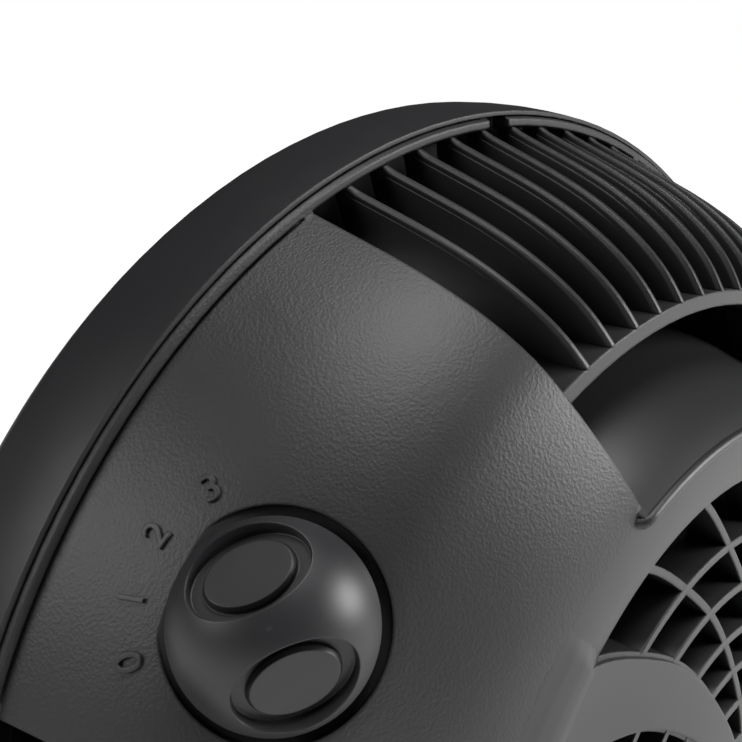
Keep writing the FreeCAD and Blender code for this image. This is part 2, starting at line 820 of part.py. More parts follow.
def knob():
    base = knob_gap
    side = base + knob_skirt
    top = V(0, 0, knob_height + base)
    shoulder = V(knob_radius, 0, side)
    across, rise = cap_middle(knob_radius, knob_height - knob_skirt)
    dome = Part.Arc(shoulder, V(across, 0, side + rise), top).toShape()
    corners = [top, V(0, 0, base), V(knob_radius, 0, base), shoulder]
    lines = [Part.makeLine(a, b) for a, b in zip(corners, corners[1:])]
    body = Part.Face(Part.Wire(Part.__sortEdges__([dome] + lines))).revolve(origin, z_axis, 360.0)
    hollow = Part.makeCylinder(nut_radius + knob_wall, bush_height + gap, V(0, 0, base), z_axis)
    bore = Part.makeCylinder(switch_shaft_radius, knob_bore_depth, V(0, 0, base), z_axis)
    ball = (knob_radius ** 2 + (knob_height - knob_skirt) ** 2) / (knob_height - knob_skirt) / 2
    floor = ball - dimple_depth
    sizes = [dimple_length, dimple_width]
    low = [v * dimple_floor_share for v in sizes]
    foot = [v * pad_share for v in sizes]
    head = [v * pad_top_share for v in foot]
    dip = Part.makeLoft([oval(low[0], low[1], floor), oval(sizes[0], sizes[1], ball)], True)
    pad = Part.makeLoft([oval(foot[0], foot[1], floor - eps), oval(foot[0], foot[1], floor + pad_rise / 2),
                         oval(head[0], head[1], floor + pad_rise)], True, True)
    for s in (-1, 1):
        tilt = FreeCAD.Placement(V(0, 0, top.z - ball), FreeCAD.Rotation(V(1, 0, 0), s * dimple_tilt))
        body = body.cut(at_frame(dip, tilt)).fuse(at_frame(pad, tilt))
    body = body.cut(hollow).cut(bore)
    return at_frame(body, knob_turn())


def knob_turn():
    return local_frame(knob_angle, knob_slope, knob_radius_share, knob_height_share, off_angle)


def switch_shaft():
    top = knob_gap + knob_bore_depth - touch
    body = Part.makeCylinder(switch_shaft_radius, switch_shaft_length, V(0, 0, top - switch_shaft_length), z_axis)
    return at_frame(body, knob_turn())


def switch_body():
    low = -seat_thick - touch
    block = Part.makeBox(switch_side, switch_side, switch_depth, V(-switch_side / 2, -switch_side / 2, low - switch_depth))
    block = block.makeFillet(capacitor_round, [e for e in block.Edges if e.BoundBox.ZLength > eps])
    bush = Part.makeCylinder(bush_radius, bush_height - low, V(0, 0, low), z_axis)
    bore = Part.makeCylinder(bush_bore, switch_shaft_length * 2, V(0, 0, -switch_shaft_length), z_axis)
    return at_frame(fused([block, bush]).cut(bore), knob_frame)


def hex_ring(radius, bore, height, start, direction):
    corners = [V(radius * math.cos(math.radians(60 * i)), radius * math.sin(math.radians(60 * i)), 0) for i in range(6)]
    body = polygon_face(corners).extrude(V(0, 0, height))
    body = body.cut(Part.makeCylinder(bore, height, origin, z_axis))
    return at_frame(body, FreeCAD.Placement(start, FreeCAD.Rotation(z_axis, direction)))


def switch_nut():
    return at_frame(hex_ring(nut_radius, bush_radius, nut_height, V(0, 0, touch), z_axis), knob_frame)


def cord_gland():
    flange = tube(gland_flange, gland_bore, V(0, 0, touch), z_axis, gland_flange_thick)
    body = tube(gland_radius - touch, gland_bore, V(0, 0, touch - gland_length), z_axis, gland_length)
    return at_frame(fused([flange, body]), gland_frame)


def capacitor():
    body = Part.makeBox(capacitor_width, capacitor_length, capacitor_height,
                        V(-capacitor_width / 2, -capacitor_length / 2, -pad_height - capacitor_height - touch))
    body = body.makeFillet(capacitor_round, [e for e in body.Edges if e.BoundBox.ZLength > eps])
    return at_frame(body, capacitor_frame)



def capacitor_clip():
    half = capacitor_width / 2 + gap
    low = -pad_height - capacitor_height - gap
    top = -pad_height - touch
    strap = Part.makeBox(half * 2 + clip_thick * 2, clip_width, top - low + clip_thick,
                         V(-half - clip_thick, -clip_width / 2, low - clip_thick))
    inside = Part.makeBox(half * 2, clip_width, top - low, V(-half, -clip_width / 2, low))
    feet = []
    for s in (-1, 1):
        start = half if s > 0 else -half - clip_foot
        feet.append(Part.makeBox(clip_foot, clip_width, clip_thick, V(start, -clip_width / 2, top - clip_thick)))
    return at_frame(fused([strap.cut(inside)] + feet), capacitor_frame)


def foot_block(inset, low, height, corner):
    width = (arm_outer - inset) * 2
    depth = foot_depth - inset * 2
    body = Part.makeBox(width, depth, height, V(-width / 2, -depth / 2, low))
    return body.makeFillet(corner, [e for e in body.Edges if e.BoundBox.ZLength > eps])


def arm_outline(inset):
    # foot width at the bottom, round at the pivot, joined by straight tangents
    r = arm_top_radius - inset
    half = arm_foot_width / 2 - inset
    low = foot_pad_height + foot_height - foot_round
    rise = axis_height - low
    reach = math.hypot(half, rise)
    lean = math.atan2(half, rise) + math.acos(r / reach)
    touch_y = r * math.sin(math.pi - lean)
    touch_z = axis_height + r * math.cos(math.pi - lean)
    right = V(0, touch_y, touch_z)
    left = V(0, -touch_y, touch_z)
    arc = Part.Arc(right, V(0, 0, axis_height + r), left).toShape()
    a = V(0, half, low)
    b = V(0, -half, low)
    edges = [Part.makeLine(b, a), Part.makeLine(a, right), arc, Part.makeLine(left, b)]
    return Part.Face(Part.Wire(Part.__sortEdges__(edges)))


def arm(side):
    body = arm_outline(0).extrude(V(arm_thick, 0, 0))
    body.translate(V(arm_inner, 0, 0))
    inside = arm_outline(arm_wall).extrude(V(arm_thick, 0, 0))
    inside.translate(V(arm_inner - arm_wall, 0, 0))
    x_axis = V(1, 0, 0)
    boss = Part.makeCylinder(arm_boss_radius, arm_thick, V(arm_inner, 0, axis_height), x_axis)
    body = fused([body.cut(inside), boss])
    cap_face = arm_outer - cap_disc_thick
    head_face = cap_face - pivot_head_height - gap * 2
    cuts = [Part.makeCylinder(cap_disc_radius + touch, arm_thick, V(cap_face, 0, axis_height), x_axis),
            Part.makeCylinder(pivot_head_radius + gap, arm_thick, V(head_face, 0, axis_height), x_axis),
            Part.makeCylinder(pivot_bolt_radius + running, arm_outer, V(0, 0, axis_height), x_axis)]
    body = body.cut(Part.makeCompound(cuts))
    return body if side > 0 else body.mirror(origin, x_axis)


def plate_points(inset):
    x = arm_outer - inset
    y = foot_depth / 2 - inset
    return [V(sx * x, sy * y, 0) for sx in (-1, 1) for sy in (-1, 1)]


def stand():
    block = foot_block(0, foot_pad_height, foot_height, foot_corner)
    top = foot_pad_height + foot_height
    block = block.makeFillet(foot_round, [e for e in block.Edges if e.BoundBox.ZMin > top - touch])
    hollow = foot_block(foot_wall, 0, top - foot_wall, foot_corner - foot_wall)
    body = block.cut(hollow)
    posts_low = foot_pad_height + plate_thick + touch
    bosses = [Part.makeCylinder(plate_boss, top - posts_low - eps, p + V(0, 0, posts_low), z_axis)
              for p in plate_points(plate_screw_inset)]
    holes = [Part.makeCylinder(boss_screw, screw_length, p + V(0, 0, posts_low), z_axis)
             for p in plate_points(plate_screw_inset)]
    body = fused([body, arm(1), arm(-1)] + bosses)
    return body.cut(Part.makeCompound(holes)).removeSplitter()


def bottom_plate():
    plate = foot_block(foot_wall + plate_gap, foot_pad_height, plate_thick, foot_corner - foot_wall)
    holes = [Part.makeCylinder(boss_screw + running, plate_thick, p + V(0, 0, foot_pad_height), z_axis)
             for p in plate_points(plate_screw_inset)]
    return plate.cut(Part.makeCompound(holes))


def plate_screws():
    return Part.makeCompound([screw(p + V(0, 0, foot_pad_height), z_axis, screw_length, boss_screw - running,
                                    screw_head, screw_head_height) for p in plate_points(plate_screw_inset)])


def rubber_feet():
    pads = []
    for p in plate_points(foot_pad_inset + foot_pad_radius):
        pad = Part.makeCylinder(foot_pad_radius, foot_pad_height, p, z_axis)
        pads.append(pad.makeFillet(foot_pad_height / 4, [e for e in pad.Edges if e.BoundBox.ZMax < touch]))
    return Part.makeCompound(pads)


def both_sides(shape):
    return Part.makeCompound([shape, shape.mirror(origin, V(1, 0, 0))])


def friction_washers():
    start = housing_radius + gap * 2
    return both_sides(tube(washer_radius, pivot_bolt_radius + running, V(start, 0, axis_height), V(1, 0, 0),
                           arm_inner - touch - start))


def pivot_bolts():
    x_axis = V(1, 0, 0)
    head_face = arm_outer - cap_disc_thick - pivot_head_height - gap
    start = housing_radius - front_wall - pivot_boss_inner - pivot_nut_height - touch
    shank = Part.makeCylinder(pivot_bolt_radius, head_face - start, V(start, 0, axis_height), x_axis)
    head = Part.makeCylinder(pivot_head_radius, pivot_head_height, V(head_face, 0, axis_height), x_axis)
    return both_sides(fused([shank, head]))


def pivot_nuts():
    start = housing_radius - front_wall - pivot_boss_inner - pivot_nut_height - touch
    return both_sides(hex_ring(pivot_nut_radius, pivot_bolt_radius, pivot_nut_height, V(start, 0, axis_height),
                               V(1, 0, 0)))


def pivot_caps():
    disc = Part.makeCylinder(cap_disc_radius, cap_disc_thick, V(arm_outer - cap_disc_thick, 0, axis_height), V(1, 0, 0))
    rim_edges = [e for e in disc.Edges if e.BoundBox.XMin > arm_outer - touch]
    return both_sides(disc.makeFillet(cap_disc_thick / 3, rim_edges))


def in_head(shape):
    copy = shape.copy()
    copy.translate(V(0, pivot_back, axis_height))
    return copy


head_nodes = {
    "front_housing": front_housing, "front_grille": front_grille, "grille_cap": grille_cap,
    "rear_housing": rear_housing, "housing_screws": housing_screws, "stator_core": stator_core,
    "windings": windings, "motor_front_bracket": lambda: bracket(-1), "motor_rear_bracket": lambda: bracket(1),
    "front_bearing": lambda: bearing(-1), "rear_bearing": lambda: bearing(1), "bracket_bolts": bracket_bolts,
    "mount_screws": mount_screws, "motor_shaft": shaft, "rotor_core": rotor_core, "fan_blade": fan_blade,
    "blade_nut": blade_nut, "speed_knob": knob, "switch_shaft": switch_shaft,
    "switch_body": switch_body, "switch_nut": switch_nut, "cord_gland": cord_gland, "capacitor": capacitor,
    "capacitor_clip": capacitor_clip,
}
stand_nodes = {
    "stand": stand, "bottom_plate": bottom_plate, "plate_screws": plate_screws, "rubber_feet": rubber_feet,
    "friction_washers": friction_washers, "pivot_bolts": pivot_bolts, "pivot_nuts": pivot_nuts,
    "pivot_caps": pivot_caps,
}

os.makedirs("parts", exist_ok=True)
for name, make in list(stand_nodes.items()) + list(head_nodes.items()):
    piece = make() if name in stand_nodes else in_head(make())
    piece.exportStep("parts/" + name + ".step")
    print(name, piece.isValid(), len(piece.Solids), [round(v, 1) for v in (piece.BoundBox.XMin, piece.BoundBox.XMax,
          piece.BoundBox.YMin, piece.BoundBox.YMax, piece.BoundBox.ZMin, piece.BoundBox.ZMax)])
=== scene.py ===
import bpy
import bmesh
import math
from mathutils import Matrix, Vector


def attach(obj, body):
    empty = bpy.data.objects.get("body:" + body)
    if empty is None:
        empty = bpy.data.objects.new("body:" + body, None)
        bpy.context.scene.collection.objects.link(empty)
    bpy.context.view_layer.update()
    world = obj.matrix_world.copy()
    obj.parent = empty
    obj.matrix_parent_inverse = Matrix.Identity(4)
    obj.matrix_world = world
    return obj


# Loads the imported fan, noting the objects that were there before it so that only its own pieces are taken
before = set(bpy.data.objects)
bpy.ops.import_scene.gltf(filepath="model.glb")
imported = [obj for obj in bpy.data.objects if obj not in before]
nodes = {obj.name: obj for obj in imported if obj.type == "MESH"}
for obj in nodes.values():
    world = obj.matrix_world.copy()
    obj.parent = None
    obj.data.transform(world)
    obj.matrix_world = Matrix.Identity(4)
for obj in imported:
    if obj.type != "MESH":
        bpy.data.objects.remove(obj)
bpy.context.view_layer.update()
print("frame loaded")

# Shared measures, as in the CAD source. Lengths are in metres and clock angles in degrees from the top; radii
# of pieces on the rear are shares of the rim's radius
headCentre = Vector((0.0, 0.013, 0.162))
rimRadius = 0.118

# Settings that surfaces of one kind share
plasticIor = 1.47
edgeSamples = 6
satinKind = {"spread": 0.04, "detail": 3.0}
grittyKind = {"spread": 0.08, "detail": 4.0, "strength": 0.6}
bandedKind = {"detail": 1.0, "strength": 0.8}
white = "#ffffff"


# Turns an sRGB hex colour into linear values for a shader
def tone(hexText):
    values = [int(hexText[i:i + 2], 16) / 255 for i in (1, 3, 5)]
    return [v / 12.92 if v <= 0.04045 else ((v + 0.055) / 1.055) ** 2.4 for v in values] + [1.0]


# Adds one shader node with its settings and links
def addNode(tree, kind, settings=None, inputs=None, links=None):
    node = tree.nodes.new(kind)
    for key, value in (settings or {}).items():
        setattr(node, key, value)
    for key, value in (inputs or {}).items():
        node.inputs[key].default_value = value
    for key, source in (links or {}).items():
        tree.links.new(source, node.inputs[key])
    return node


# Gives a new material with its main shader, and the object coordinates that its patterns use
def startMaterial(name, colour, roughness, metallic=0.0, ior=1.5):
    mat = bpy.data.materials.new(name)
    mat.use_nodes = True
    tree = mat.node_tree
    shader = tree.nodes["Principled BSDF"]
    shader.inputs["Base Color"].default_value = tone(colour)
    shader.inputs["Roughness"].default_value = roughness
    shader.inputs["Metallic"].default_value = metallic
    shader.inputs["IOR"].default_value = ior
    coords = addNode(tree, "ShaderNodeTexCoord").outputs["Object"]
    return mat, tree, shader, coords


# A moulding's edges are a little rounded, so light catches them
def roundedEdges(tree, radius):
    return addNode(tree, "ShaderNodeBevel", {"samples": edgeSamples}, {"Radius": radius}).outputs["Normal"]


# Smooth satin ABS, polished mould: even colour, soft broad highlights, faint waviness in the gloss
def satinPlastic(name, look):
    rough, spread = look["roughness"], satinKind["spread"]
    mat, tree, shader, coords = startMaterial(name, look["colour"], rough, ior=plasticIor)
    noise = addNode(tree, "ShaderNodeTexNoise", None,
                    {"Scale": 1 / look["patch"], "Detail": satinKind["detail"]}, {"Vector": coords})
    gloss = addNode(tree, "ShaderNodeMapRange", None, {"To Min": rough - spread, "To Max": rough + spread},
                    {"Value": noise.outputs["Fac"]})
    tree.links.new(gloss.outputs["Result"], shader.inputs["Roughness"])
    tree.links.new(roundedEdges(tree, look["edge"]), shader.inputs["Normal"])
    return mat


# Mask of the solid sectors: 1 between the vents and outside the grille, 0 elsewhere
def panelMask(tree, coords, look):
    shift = addNode(tree, "ShaderNodeVectorMath", {"operation": "SUBTRACT"}, {1: tuple(headCentre)},
                    {0: coords})
    parts = addNode(tree, "ShaderNodeSeparateXYZ", None, None, {0: shift.outputs[0]})
    angle = addNode(tree, "ShaderNodeMath", {"operation": "ARCTAN2"}, None,
                    {0: parts.outputs["X"], 1: parts.outputs["Z"]})
    quarter = addNode(tree, "ShaderNodeMath", {"operation": "PINGPONG"}, {1: math.pi / 4},
                      {0: angle.outputs[0]})
    inPanel = addNode(tree, "ShaderNodeMath", {"operation": "GREATER_THAN"}, {1: look["ventHalf"]},
                      {0: quarter.outputs[0]})
    flat = addNode(tree, "ShaderNodeVectorMath", {"operation": "MULTIPLY"}, {1: (1, 0, 1)},
                   {0: shift.outputs[0]})
    radius = addNode(tree, "ShaderNodeVectorMath", {"operation": "LENGTH"}, None, {0: flat.outputs[0]})
    outside = addNode(tree, "ShaderNodeMath", {"operation": "GREATER_THAN"}, {1: look["innerRadius"]},
                      {0: radius.outputs["Value"]})
    return addNode(tree, "ShaderNodeMath", {"operation": "MULTIPLY"}, None,
                   {0: inPanel.outputs[0], 1: outside.outputs[0]}).outputs[0]


# Grained ABS of the rear: leather-like etching on the solid sectors, smooth on arches, fins and grille
def grainedPlastic(name, look):
    mat, tree, shader, coords = startMaterial(name, look["colour"], look["roughness"], ior=plasticIor)
    mask = panelMask(tree, coords, look)
    cells = addNode(tree, "ShaderNodeTexVoronoi", {"feature": "SMOOTH_F1"},
                    {"Scale": 1 / look["grain"], "Smoothness": look["smoothness"]}, {"Vector": coords})
    fine = addNode(tree, "ShaderNodeTexNoise", None, {"Scale": 1 / look["fine"], "Detail": look["detail"]},
                   {"Vector": coords})
    height = addNode(tree, "ShaderNodeMath", {"operation": "ADD"}, None,
                     {0: cells.outputs["Distance"], 1: fine.outputs["Fac"]})
    strength = addNode(tree, "ShaderNodeMath", {"operation": "MULTIPLY"}, {1: look["bump"]}, {0: mask})
    bump = addNode(tree, "ShaderNodeBump", None, {"Distance": look["depth"]},
                   {"Height": height.outputs[0], "Strength": strength.outputs[0],
                    "Normal": roundedEdges(tree, look["edge"])})
    gloss = addNode(tree, "ShaderNodeMapRange", None,
                    {"To Min": look["smoothRough"], "To Max": look["roughness"]}, {"Value": mask})
    tree.links.new(bump.outputs["Normal"], shader.inputs["Normal"])
    tree.links.new(gloss.outputs["Result"], shader.inputs["Roughness"])
    return mat


# Gritty surface: fine specks in colour, gloss and relief, as casting, plating or moulding leave them
def grittyMaterial(name, look):
    rough, spread = look["roughness"], grittyKind["spread"]
    mat, tree, shader, coords = startMaterial(name, look["colour"], rough, look.get("metallic", 0.0))
    grit = addNode(tree, "ShaderNodeTexNoise", None,
                   {"Scale": 1 / look["grit"], "Detail": grittyKind["detail"]}, {"Vector": coords})
    specks = addNode(tree, "ShaderNodeMix", {"data_type": "RGBA"},
                     {6: tone(look["colour"]), 7: tone(look["speck"])}, {0: grit.outputs["Fac"]})
    gloss = addNode(tree, "ShaderNodeMapRange", None, {"To Min": rough - spread, "To Max": rough + spread},
                    {"Value": grit.outputs["Fac"]})
    bump = addNode(tree, "ShaderNodeBump", None,
                   {"Distance": look["relief"], "Strength": grittyKind["strength"]},
                   {"Height": grit.outputs["Fac"], "Normal": roundedEdges(tree, look["edge"])})
    tree.links.new(specks.outputs[2], shader.inputs["Base Color"])
    tree.links.new(gloss.outputs["Result"], shader.inputs["Roughness"])
    tree.links.new(bump.outputs["Normal"], shader.inputs["Normal"])
    return mat


# Banded surface: fine ridges one after another, as stacked sheets or laid wire give
def bandedMaterial(name, look):
    mat, tree, shader, coords = startMaterial(name, look["colour"], look["roughness"], look["metallic"])
    waveScale = math.pi / 10 / look["pitch"]  # the wave texture repeats each pi tenths at scale 1
    bands = addNode(tree, "ShaderNodeTexWave", {"bands_direction": look["along"]},
                    {"Scale": waveScale, "Distortion": look["stray"], "Detail": bandedKind["detail"]},
                    {"Vector": coords})
    tints = addNode(tree, "ShaderNodeMix", {"data_type": "RGBA"},
                    {6: tone(look["groove"]), 7: tone(look["colour"])}, {0: bands.outputs["Fac"]})
    bump = addNode(tree, "ShaderNodeBump", None,
                   {"Distance": look["relief"], "Strength": bandedKind["strength"]},
                   {"Height": bands.outputs["Fac"]})
    tree.links.new(tints.outputs[2], shader.inputs["Base Color"])
    tree.links.new(bump.outputs["Normal"], shader.inputs["Normal"])
    return mat


grainLook = {"colour": "#252526", "roughness": 0.43, "smoothRough": 0.40, "ventHalf": math.radians(23.0),
             "innerRadius": 0.0695, "grain": 0.0005, "smoothness": 0.6, "fine": 0.00025, "detail": 4.0,
             "bump": 0.28, "depth": 0.00012, "edge": 0.0006}
bandLook = {"colour": "#222224", "roughness": 0.40, "patch": 0.012, "edge": 0.0004}
knobLook = {"colour": "#252527", "roughness": 0.40, "patch": 0.006, "edge": 0.0003}
blackLook = {"colour": "#1c1c1d", "roughness": 0.5, "patch": 0.010, "edge": 0.0003}
zincLook = {"colour": "#c3c4c1", "speck": "#a5a7a4", "roughness": 0.32, "metallic": 1.0, "grit": 0.0008,
            "relief": 0.00001, "edge": 0.0002}
castLook = {"colour": "#adaeb1", "speck": "#8f9194", "roughness": 0.5, "metallic": 1.0, "grit": 0.0006,
            "relief": 0.00004, "edge": 0.0004}
coreLook = {"colour": "#85878c", "groove": "#4d4f54", "roughness": 0.42, "metallic": 1.0, "along": "Y",
            "pitch": 0.0010, "stray": 0.0, "relief": 0.00005}
copperLook = {"colour": "#9c4a22", "groove": "#54240e", "roughness": 0.3, "metallic": 0.7,
              "along": "DIAGONAL", "pitch": 0.0009, "stray": 1.5, "relief": 0.00012}
bronzeLook = {"colour": "#94713d", "speck": "#6b4f27", "roughness": 0.45, "metallic": 1.0, "grit": 0.0004,
              "relief": 0.00003, "edge": 0.0002}
rubberLook = {"colour": "#1a1a1a", "speck": "#222222", "roughness": 0.8, "grit": 0.0005, "relief": 0.00003,
              "edge": 0.0004}
nylonLook = {"colour": "#d8d6cc", "speck": "#cbc8bb", "roughness": 0.48, "grit": 0.0030, "relief": 0.00001,
             "edge": 0.0002}
greyLook = {"colour": "#77777a", "speck": "#6c6c70", "roughness": 0.5, "grit": 0.0006, "relief": 0.00002,
            "edge": 0.0005}

grained = grainedPlastic("grained moulded ABS", grainLook)  # charcoal, the etching breaks up the light
satin = satinPlastic("satin moulded ABS", bandLook)  # a shade darker, long soft highlights on the band
knobPlastic = satinPlastic("satin moulded ABS knob", knobLook)  # one clear highlight on its crown
blackPlastic = satinPlastic("moulded polypropylene", blackLook)  # deeper black, duller than the shells
zinc = grittyMaterial("zinc plated steel", zincLook)  # bright screws with a faint cloudy plating
cast = grittyMaterial("die cast aluminium", castLook)  # dull grey with the skin of the mould
core = bandedMaterial("laminated steel", coreLook)  # stacked sheets, coarser than 0.5 mm so that they show
copper = bandedMaterial("enamelled copper wire", copperLook)  # laid turns under a red-brown enamel
bronze = grittyMaterial("sintered bronze", bronzeLook)  # pressed powder, dull and speckled
rubber = grittyMaterial("moulded rubber", rubberLook)  # matt black with a fine tooth
nylon = grittyMaterial("natural nylon", nylonLook)  # milky, slightly cloudy
grey = grittyMaterial("moulded polyester case", greyLook)  # even grey with a fine mould grain
materialNodes = [
    (grained, ["rear_housing"]),
    (satin, ["front_housing", "front_grille", "grille_cap", "stand", "pivot_caps"]),
    (knobPlastic, ["speed_knob"]),
    (blackPlastic, ["bottom_plate", "fan_blade", "blade_nut", "switch_body", "friction_washers"]),
    (zinc, ["plate_screws", "housing_screws", "bracket_bolts", "mount_screws", "pivot_bolts", "pivot_nuts",
            "switch_nut", "capacitor_clip", "motor_shaft"]),
    (cast, ["motor_front_bracket", "motor_rear_bracket"]),
    (core, ["stator_core", "rotor_core"]),
    (copper, ["windings"]),
    (bronze, ["front_bearing", "rear_bearing"]),
    (rubber, ["rubber_feet", "cord_gland"]),
    (nylon, ["switch_shaft"]),
    (grey, ["capacitor"])]
for mat, names in materialNodes:
    for name in names:
        nodes[name].data.materials.clear()
        nodes[name].data.materials.append(mat)
print("materials set")


# Adds a finished piece of the head to the scene with its material
def addToHead(piece, mat):
    bpy.context.scene.collection.objects.link(piece)
    piece.data.materials.clear()
    piece.data.materials.append(mat)
    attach(piece, "head")


# Turns a curve or text into a mesh
def meshOf(curve):
    source = bpy.data.objects.new(curve.name, curve)
    bpy.context.scene.collection.objects.link(source)
    bpy.context.view_layer.update()
    mesh = bpy.data.meshes.new_from_object(source)
    bpy.data.objects.remove(source)
    return mesh


# Place on the rear, from a radius, a clock angle and a depth along the fan's axis
def atClock(radius, angle, depth):
    turn = math.radians(angle)
    return Vector((radius * math.sin(turn), depth, headCentre.z + radius * math.cos(turn)))


# Place and outward direction on the rear housing at a radius and a clock angle, met from behind
def surfaceAt(radius, angle):
    start = atClock(radius, angle, headCentre.y + rimRadius)
    return nodes["rear_housing"].ray_cast(start, Vector((0, -1, 0)))[1:3]


# Crests of the vent fins: they bring each fin flush with the dome and on to the arch that it meets
finLook = {"count": 10, "pitch": 4.25, "ventHalf": 23.375, "top": 0.0008, "shoulder": 0.00134,
           "foot": 0.00124, "shoulderDrop": 0.0009, "footDrop": 0.0048, "outer": 0.976, "wall": 0.984,
           "archEnds": (0.7655, 0.588, 0.588, 0.588), "plateFrom": 0.815, "plateDrop": 0.012, "steps": 20}
bareAngle = -45  # the sector on the other side of the handle carries nothing, so it shows the bare dome


# Hangs a lower row of edges from the row above it, moved sideways and dropped towards the front
def hangRow(form, edges, sideways, drop):
    geom = bmesh.ops.extrude_edge_only(form, edges=edges)["geom"]
    row = [v for v in geom if isinstance(v, bmesh.types.BMVert)]
    bmesh.ops.translate(form, verts=row, vec=(sideways, -drop, 0))
    low = [e for e in geom if isinstance(e, bmesh.types.BMEdge) and e.verts[0] in row and e.verts[1] in row]
    return row, low, [f for f in geom if isinstance(f, bmesh.types.BMFace)]


# One crest: its ridge follows the dome from the rim's wall to the arch, and its two rows hang over the fin
def makeCrest(form, look, angle, inner, hasPlate):
    side = -look["top"] / 2
    ridge = [form.verts.new((side, headCentre.y, headCentre.z + rimRadius * look["wall"]))]
    for i in range(look["steps"] + 1):
        radius = rimRadius * (look["outer"] + (inner - look["outer"]) * i / look["steps"])
        dome = surfaceAt(radius, bareAngle)[0].y
        ridge.append(form.verts.new((side, dome, headCentre.z + radius)))
    line = [form.edges.new(pair) for pair in zip(ridge, ridge[1:])]
    shoulder, line, upperSide = hangRow(form, line, (look["top"] - look["shoulder"]) / 2,
                                        look["shoulderDrop"])
    foot, _, lowerSide = hangRow(form, line, (look["shoulder"] - look["foot"]) / 2,
                                 look["footDrop"] - look["shoulderDrop"])
    if hasPlate:  # the top fins end in a plate that reaches down behind the handle bar
        plateEnd = headCentre.z + rimRadius * look["plateFrom"]
        deep = [v for v in foot if v.co.z < plateEnd]
        bmesh.ops.translate(form, verts=deep, vec=(0, look["footDrop"] - look["plateDrop"], 0))
    grown = bmesh.ops.extrude_face_region(form, geom=upperSide + lowerSide)["geom"]
    far = [v for v in grown if isinstance(v, bmesh.types.BMVert)]
    bmesh.ops.scale(form, verts=far, vec=(-1, 1, 1))
    bmesh.ops.rotate(form, verts=ridge + shoulder + foot + far, cent=headCentre,
                     matrix=Matrix.Rotation(angle, 3, "Y"))


def makeCrests(look):
    form = bmesh.new()
    ventTurn = 360 / len(look["archEnds"])
    for vent, inner in enumerate(look["archEnds"]):
        for i in range(look["count"]):
            turn = vent * ventTurn - look["ventHalf"] + look["pitch"] * (i + 1)
            makeCrest(form, look, math.radians(turn), inner, vent == 0)
    bmesh.ops.recalc_face_normals(form, faces=form.faces)
    mesh = bpy.data.meshes.new("finCrests")
    form.to_mesh(mesh)
    form.free()
    return bpy.data.objects.new("finCrests", mesh)


addToHead(makeCrests(finLook), grained)
print("fin crests made")

# Rounded lip along the lower edge of the handle pocket: a bead whose ends sink into the panels beside it
lipLook = {"radius": 0.5875, "flat": 23.7, "end": 24.9, "fallPower": 1.5, "thick": 0.0019, "below": 0.0006,
           "sink": 0.0008, "steps": 60, "roundSteps": 4}


def makeLip(look):
    curve = bpy.data.curves.new("lipCurve", "CURVE")
    curve.dimensions = "3D"
    curve.bevel_depth = look["thick"] / 2
    curve.bevel_resolution = look["roundSteps"]
    curve.use_fill_caps = True
    path = curve.splines.new("POLY")
    path.points.add(look["steps"])
    radius = look["radius"] * rimRadius
    crest = surfaceAt(radius, 0)[0].y - look["below"]
    panel = surfaceAt(radius, look["end"])[0].y - look["thick"] / 2 - look["sink"]
    for i, point in enumerate(path.points):
        angle = look["end"] * (2 * i / look["steps"] - 1)
        fall = max(0.0, (abs(angle) - look["flat"]) / (look["end"] - look["flat"])) ** look["fallPower"]
        point.co = (*atClock(radius, angle, crest + (panel - crest) * fall), 1)
    mesh = meshOf(curve)
    mesh.name = "pocketLip"
    mesh.shade_smooth()
    return bpy.data.objects.new("pocketLip", mesh)


addToHead(makeLip(lipLook), grained)
print("pocket lip made")

# Soft run-out of the raised lobe into the panel: a low swelling that falls from the lobe's end to the dome
runLook = {"inner": 0.509, "outer": 0.605, "lift": 0.00102, "bury": 0.00005, "angles": (39.6, 59.6),
           "fade": 3.4, "thick": 0.0012, "across": 24, "along": 40}


# Goes from 0 to 1 with a soft start and a soft end
def ease(share):
    share = min(1.0, max(0.0, share))
    return share * share * (3 - 2 * share)


# A unit grid bent to the dome, then thickened towards the front
def makeRunOut(look):
    form = bmesh.new()
    bmesh.ops.create_grid(form, x_segments=look["across"], y_segments=look["along"], size=0.5)
    first, last = look["angles"]
    for v in form.verts:
        share, angle = v.co.x + 0.5, first + (last - first) * (v.co.y + 0.5)
        radius = rimRadius * (look["inner"] + (look["outer"] - look["inner"]) * share)
        window = ease(min(angle - first, last - angle) / look["fade"])
        dome = surfaceAt(radius, bareAngle)[0].y
        v.co = atClock(radius, angle, dome - look["bury"] + look["lift"] * window * (1 - ease(share)))
    grown = bmesh.ops.extrude_face_region(form, geom=form.faces[:])["geom"]
    low = [v for v in grown if isinstance(v, bmesh.types.BMVert)]
    bmesh.ops.translate(form, verts=low, vec=(0, -look["thick"], 0))
    bmesh.ops.recalc_face_normals(form, faces=form.faces)
    mesh = bpy.data.meshes.new("lobeRunOut")
    form.to_mesh(mesh)
    form.free()
    mesh.shade_smooth()
    return bpy.data.objects.new("lobeRunOut", mesh)


addToHead(makeRunOut(runLook), grained)
print("lobe run-out made")

# Raised digits of the speed dial, each with its top away from the knob
dialLook = {"places": {"0": (0.930, 59.3), "1": (0.940, 55.5), "2": (0.9425, 51.0), "3": (0.930, 46.6)},
            "height": 0.0038, "heightOfFont": 0.70, "rise": 0.00045, "edge": 0.00008, "roundSteps": 6,
            "knobRadius": 0.846, "knobAngle": 53.0, "knobHeight": 0.232}


